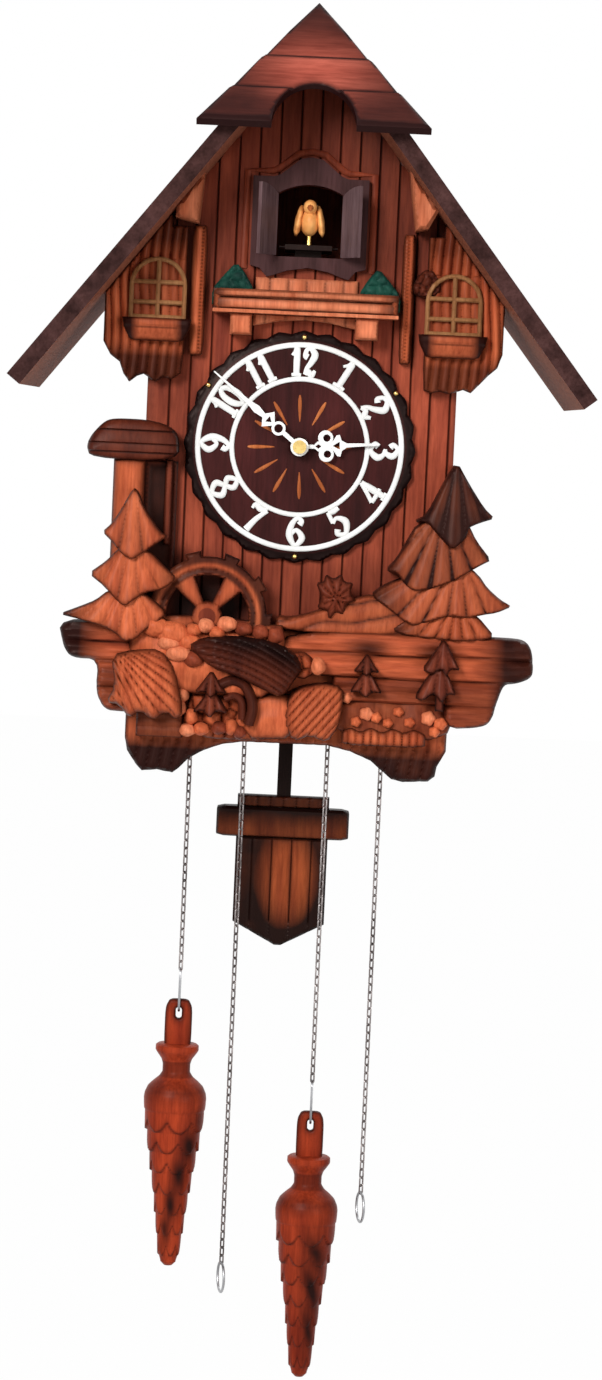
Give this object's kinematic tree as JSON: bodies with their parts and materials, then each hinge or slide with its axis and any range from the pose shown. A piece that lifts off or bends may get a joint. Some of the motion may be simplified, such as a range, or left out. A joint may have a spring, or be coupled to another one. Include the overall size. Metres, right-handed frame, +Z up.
{
  "type": "cuckoo clock",
  "caption": "Weight-driven chalet cuckoo clock with carved mill scene, turning water wheel, sliding bird behind double doors, pendulum, chains and pine-cone weights.",
  "frame": {"origin": "centre of the hanger hole on the wall plane", "axes": "+Z up, +Y into the wall, so the dial faces -Y and +X is to the viewer's right"},
  "size_m": [0.3444, 0.203, 0.8374],
  "materials": {
    "stained_wood": "satin",
    "carved_wood": "satin",
    "roof_wood": "satin",
    "dark_wood": "satin",
    "light_wood": "satin",
    "green_paint": "satin painted",
    "dial_wood": "satin",
    "ivory_plastic": "gloss",
    "black_wood": "satin painted",
    "bird_paint": "satin painted",
    "brass": "satin",
    "chain_steel": "tarnished",
    "steel": "satin",
    "iron_weight": "painted brown"
  },
  "bodies": {
    "case": {"case_sides": "stained_wood", "back_panel": "stained_wood", "hanger_plate": "steel", "case_floor": "stained_wood", "front_panel": "stained_wood", "roof_boards": "roof_wood", "roof_hip": "roof_wood", "eave_brackets": "carved_wood", "gable_wings": "carved_wood", "window_frames": "light_wood", "flower_boxes": "carved_wood", "bird_door_frame": "dark_wood", "balcony_deck": "carved_wood", "balcony_rail": "carved_wood", "balcony_hedges": "green_paint", "dial_disc": "dial_wood", "dial_trim": "ivory_plastic", "plinth_board": "carved_wood", "mill_tower": "carved_wood", "tall_pines": "carved_wood", "hills": "carved_wood", "log_beams": "carved_wood", "thatched_cottages": "carved_wood", "small_firs": "carved_wood", "undergrowth": "carved_wood", "boulders": "carved_wood", "wheel_axle": "dark_wood", "movement_plates": "brass", "bird_shelf": "stained_wood", "bellows_pipes": "light_wood", "gong": "steel"},
    "minute_train": {"centre_wheel": "brass", "minute_hand": "ivory_plastic", "hand_nut": "brass"},
    "hour_train": {"hour_wheel": "brass", "hour_hand": "ivory_plastic"},
    "minute_wheel_body": {"minute_wheel": "brass"},
    "going_great": {"going_great_wheel": "brass"},
    "escape": {"escape_wheel": "brass"},
    "strike_great": {"strike_great_wheel": "brass"},
    "strike_second": {"strike_second_wheel": "brass"},
    "fly": {"strike_fly": "brass"},
    "going_drum": {"going_chain_wheel": "brass"},
    "strike_drum": {"strike_chain_wheel": "brass"},
    "going_weight": {"weight_going": "iron_weight", "chain_going_weight": "chain_steel"},
    "going_ring": {"chain_going_ring": "chain_steel"},
    "strike_weight": {"weight_strike": "iron_weight", "chain_strike_weight": "chain_steel"},
    "strike_ring": {"chain_strike_ring": "chain_steel"},
    "pendulum": {"pallet_anchor": "steel", "pendulum_rod": "black_wood", "pendulum_bob": "carved_wood"},
    "cuckoo": {"bird_carriage": "black_wood", "bird": "bird_paint"},
    "door_left": {"bird_door_left": "dark_wood"},
    "door_right": {"bird_door_right": "dark_wood"},
    "mill_wheel": {"water_wheel": "carved_wood"},
    "lid_left": {"bellows_lid_left": "light_wood"},
    "lid_right": {"bellows_lid_right": "light_wood"}
  },
  "joints": [
    {"name": "minute_hand_turn", "type": "hinge", "parent": "case", "child": "minute_train", "pos_m": [0, -0.09, -0.175], "axis": [0, 1, 0], "continuous": true},
    {"name": "hour_hand_turn", "type": "hinge", "parent": "case", "child": "hour_train", "pos_m": [0, -0.11, -0.175], "axis": [0, 1, 0], "continuous": true},
    {"name": "minute_wheel_turn", "type": "hinge", "parent": "case", "child": "minute_wheel_body", "pos_m": [0, -0.106, -0.19], "axis": [0, 1, 0], "continuous": true},
    {"name": "going_great_turn", "type": "hinge", "parent": "case", "child": "going_great", "pos_m": [0.042, -0.069, -0.18845], "axis": [0, 1, 0], "continuous": true},
    {"name": "escape_turn", "type": "hinge", "parent": "case", "child": "escape", "pos_m": [0, -0.061, -0.1474], "axis": [0, 1, 0], "continuous": true},
    {"name": "strike_great_turn", "type": "hinge", "parent": "case", "child": "strike_great", "pos_m": [-0.042, -0.085, -0.18845], "axis": [0, 1, 0], "continuous": true},
    {"name": "strike_second_turn", "type": "hinge", "parent": "case", "child": "strike_second", "pos_m": [-0.04966, -0.085, -0.14502], "axis": [0, 1, 0], "continuous": true},
    {"name": "fly_turn", "type": "hinge", "parent": "case", "child": "fly", "pos_m": [-0.03586, -0.085, -0.12111], "axis": [0, 1, 0], "continuous": true},
    {"name": "going_weight_fall", "type": "slide", "parent": "case", "child": "going_weight", "axis": [0, 0, 1], "range_m": [-0.15, 0.11]},
    {"name": "going_ring_pull", "type": "slide", "parent": "case", "child": "going_ring", "axis": [0, 0, 1], "range_m": [-0.11, 0.15]},
    {"name": "going_drum_turn", "type": "hinge", "parent": "case", "child": "going_drum", "pos_m": [0.042, -0.078, -0.18845], "axis": [0, 1, 0], "range_deg": [-521.37, 382.47]},
    {"name": "strike_weight_fall", "type": "slide", "parent": "case", "child": "strike_weight", "axis": [0, 0, 1], "range_m": [-0.15, 0.11]},
    {"name": "strike_ring_pull", "type": "slide", "parent": "case", "child": "strike_ring", "axis": [0, 0, 1], "range_m": [-0.11, 0.15]},
    {"name": "strike_drum_turn", "type": "hinge", "parent": "case", "child": "strike_drum", "pos_m": [-0.042, -0.078, -0.18845], "axis": [0, 1, 0], "range_deg": [-521.37, 382.47]},
    {"name": "pendulum_swing", "type": "hinge", "parent": "case", "child": "pendulum", "pos_m": [0, -0.038, -0.125], "axis": [0, 1, 0], "range_deg": [-5.5, 5.5]},
    {"name": "bird_slide", "type": "slide", "parent": "case", "child": "cuckoo", "axis": [0, 1, 0], "range_m": [0, 0.038]},
    {"name": "door_left_swing", "type": "hinge", "parent": "case", "child": "door_left", "pos_m": [-0.0212, -0.1273, -0.045], "axis": [0, 0, 1], "range_deg": [0, 126]},
    {"name": "door_right_swing", "type": "hinge", "parent": "case", "child": "door_right", "pos_m": [0.0212, -0.1273, -0.045], "axis": [0, 0, 1], "range_deg": [-126, 0]},
    {"name": "mill_wheel_turn", "type": "hinge", "parent": "case", "child": "mill_wheel", "pos_m": [-0.0505, -0.135, -0.278], "axis": [0, 1, 0], "continuous": true},
    {"name": "bellows_left_lift", "type": "hinge", "parent": "case", "child": "lid_left", "pos_m": [-0.072, -0.022, -0.0722], "axis": [-1, 0, 0], "range_deg": [0, 12]},
    {"name": "bellows_right_lift", "type": "hinge", "parent": "case", "child": "lid_right", "pos_m": [0.072, -0.022, -0.0722], "axis": [-1, 0, 0], "range_deg": [0, 12]}
  ],
  "couplings": [
    {"joint": "hour_hand_turn", "follows": "minute_hand_turn", "ratio": 0.083333},
    {"joint": "minute_wheel_turn", "follows": "minute_hand_turn", "ratio": -0.33333},
    {"joint": "going_great_turn", "follows": "minute_hand_turn", "ratio": -0.14545},
    {"joint": "escape_turn", "follows": "minute_hand_turn", "ratio": -6.6667},
    {"joint": "strike_second_turn", "follows": "strike_great_turn", "ratio": -6.875},
    {"joint": "fly_turn", "follows": "strike_great_turn", "ratio": 45.833},
    {"joint": "going_ring_pull", "follows": "going_weight_fall", "ratio": -1},
    {"joint": "going_drum_turn", "follows": "going_weight_fall", "rad_per_m": 60.606},
    {"joint": "strike_ring_pull", "follows": "strike_weight_fall", "ratio": -1},
    {"joint": "strike_drum_turn", "follows": "strike_weight_fall", "rad_per_m": 60.606},
    {"joint": "door_left_swing", "follows": "bird_slide", "rad_per_m": 55.115},
    {"joint": "door_right_swing", "follows": "bird_slide", "rad_per_m": -55.115}
  ]
}
